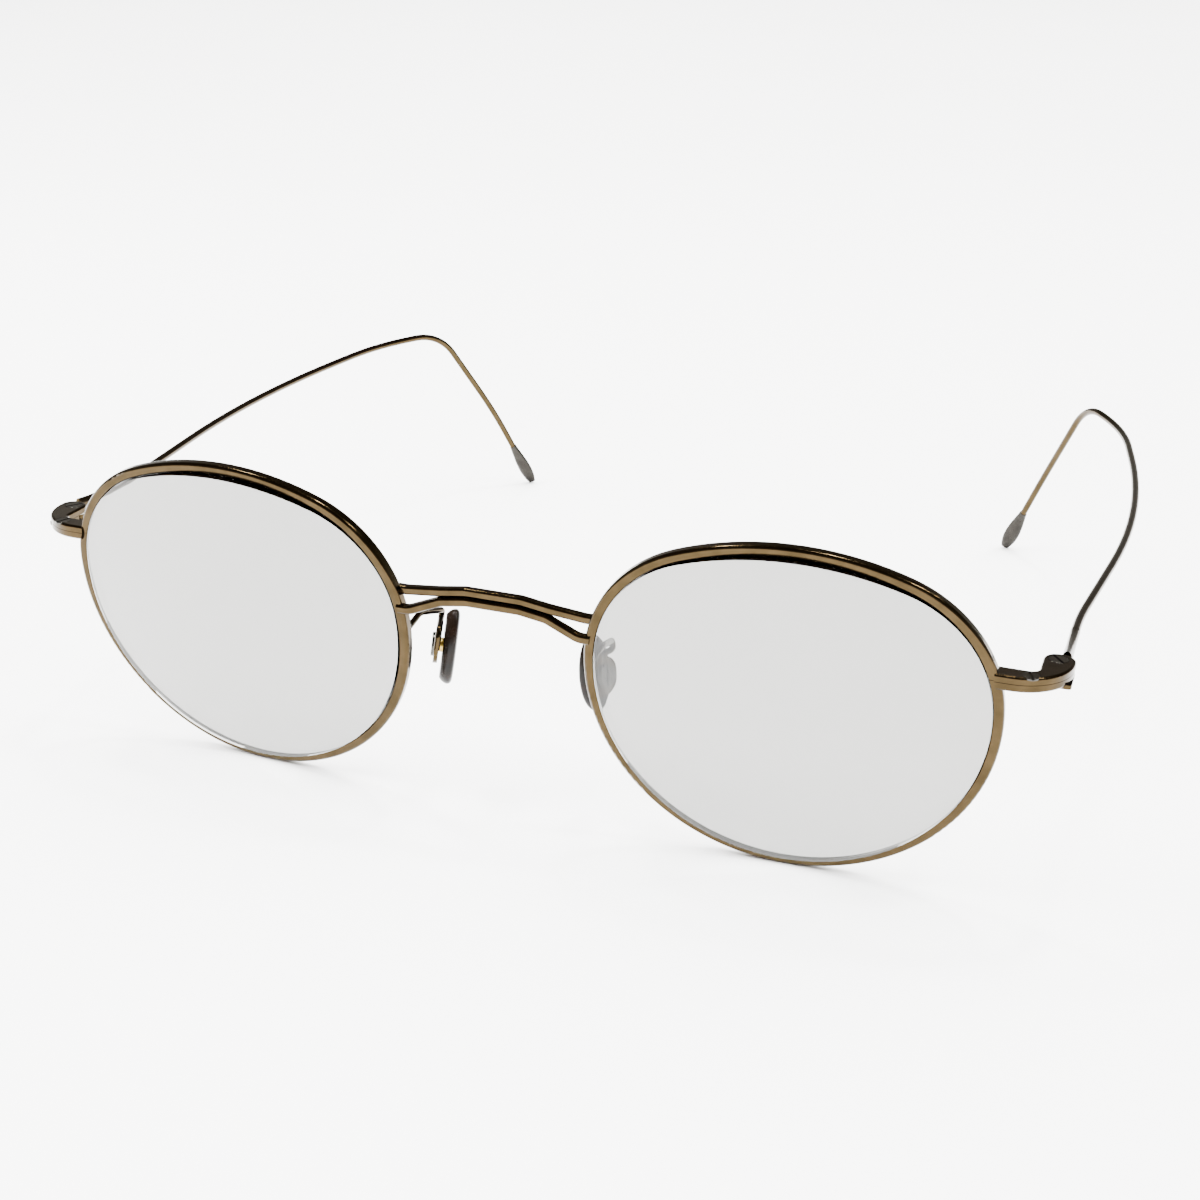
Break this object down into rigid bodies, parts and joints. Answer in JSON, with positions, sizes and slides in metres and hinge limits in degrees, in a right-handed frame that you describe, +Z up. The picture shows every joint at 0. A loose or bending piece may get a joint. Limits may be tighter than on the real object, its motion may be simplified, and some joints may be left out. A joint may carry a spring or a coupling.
{
  "type": "eyeglasses",
  "caption": "Wire-rimmed eyeglasses with rounded lenses, a double-strand bridge, black nose pads on wire arms and thin folding temples that bend down behind the ears.",
  "frame": {"origin": "centre of the bounding box's base, on the table the open glasses stand on", "axes": "+X across the front to the viewer's right when facing the lenses, +Y back from the lenses along the temples, +Z up"},
  "size_m": [0.138, 0.1236, 0.043],
  "materials": {
    "frame_metal": "polished light bronze plating",
    "tip_metal": "dark smooth coating over flattened wire",
    "screw_steel": "bright turned steel",
    "lens_clear": "clear polished, slightly grey",
    "pad_plastic": "glossy, dark with a brown edge",
    "washer_plastic": "plain nylon",
    "boss_brass": "turned, plain"
  },
  "bodies": {
    "front": {"right_rim": "frame_metal", "right_lens": "lens_clear", "right_endpiece_upper": "frame_metal", "right_endpiece_lower": "frame_metal", "right_closing_screw": "screw_steel", "right_hinge_screw": "screw_steel", "right_hinge_washer": "washer_plastic", "right_pad_arm": "frame_metal", "left_rim": "frame_metal", "left_lens": "lens_clear", "left_endpiece_upper": "frame_metal", "left_endpiece_lower": "frame_metal", "left_closing_screw": "screw_steel", "left_hinge_screw": "screw_steel", "left_hinge_washer": "washer_plastic", "left_pad_arm": "frame_metal", "bridge_front_strand": "frame_metal", "bridge_rear_strand": "frame_metal"},
    "right_temple_arm": {"right_temple": "frame_metal", "right_temple_tip": "tip_metal"},
    "right_pad": {"right_nose_pad": "pad_plastic", "right_pad_boss": "boss_brass", "right_pad_screw": "screw_steel"},
    "left_temple_arm": {"left_temple": "frame_metal", "left_temple_tip": "tip_metal"},
    "left_pad": {"left_nose_pad": "pad_plastic", "left_pad_boss": "boss_brass", "left_pad_screw": "screw_steel"}
  },
  "joints": [
    {"name": "right_fold", "type": "hinge", "parent": "front", "child": "right_temple_arm", "pos_m": [0.06474, -0.05175, 0.02999], "axis": [0, 0, 1], "range_deg": [0, 70]},
    {"name": "right_pad_swivel", "type": "hinge", "parent": "front", "child": "right_pad", "pos_m": [0.0121, -0.05153, 0.01941], "axis": [0.9043, -0.4031, 0.1407], "range_deg": [-10, 10]},
    {"name": "left_fold", "type": "hinge", "parent": "front", "child": "left_temple_arm", "pos_m": [-0.06474, -0.05175, 0.02999], "axis": [0, 0, -1], "range_deg": [0, 80]},
    {"name": "left_pad_swivel", "type": "hinge", "parent": "front", "child": "left_pad", "pos_m": [-0.0121, -0.05153, 0.01941], "axis": [-0.9043, -0.4031, 0.1407], "range_deg": [-10, 10]}
  ]
}
